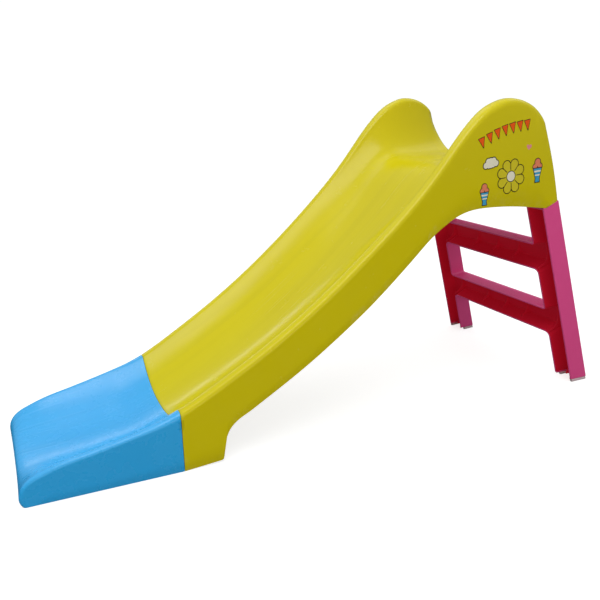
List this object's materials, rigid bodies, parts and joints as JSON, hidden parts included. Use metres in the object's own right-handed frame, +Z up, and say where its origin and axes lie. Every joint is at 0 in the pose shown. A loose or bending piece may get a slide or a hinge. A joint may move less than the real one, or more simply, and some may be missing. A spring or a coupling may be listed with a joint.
{
  "type": "straight slide",
  "caption": "Low children's straight slide: moulded two-piece trough chute with tall rounded hand humps, fixed two-step moulded ladder and flat ground feet.",
  "frame": {"origin": "on the ground, in the middle of the overall length, on the plane of symmetry", "axes": "+X from the exit lip to the ladder, +Y to the right of a child who sits on the platform and faces the exit, +Z up"},
  "size_m": [1.38, 0.4858, 0.7096],
  "materials": {
    "upper_chute": "glossy yellow moulded polyethylene",
    "lower_chute": "glossy sky-blue moulded polyethylene",
    "ladder": "glossy rose-red moulded polyethylene",
    "foot_cap": "pale grey soft plastic",
    "zinc_steel": "zinc-plated steel",
    "sticker_orange": "printed vinyl",
    "sticker_white": "printed vinyl",
    "sticker_cream": "printed vinyl",
    "sticker_pink": "printed vinyl",
    "sticker_blue": "printed vinyl"
  },
  "bodies": {
    "root": {"upper_chute": "upper_chute", "lower_chute": "lower_chute", "ladder_frame": "ladder", "left_foot_cap": "foot_cap", "right_foot_cap": "foot_cap", "seam_bolts": "zinc_steel", "seam_washers": "zinc_steel", "seam_nuts": "zinc_steel", "ladder_screws": "zinc_steel", "ladder_washers": "zinc_steel", "left_garland_sticker": "sticker_orange", "left_cloud_sticker": "sticker_white", "left_flower_sticker": "sticker_cream", "left_heart_sticker": "sticker_pink", "left_cone_stickers": "sticker_blue", "right_garland_sticker": "sticker_orange", "right_cloud_sticker": "sticker_white", "right_flower_sticker": "sticker_cream", "right_heart_sticker": "sticker_pink", "right_cone_stickers": "sticker_blue"}
  },
  "joints": []
}
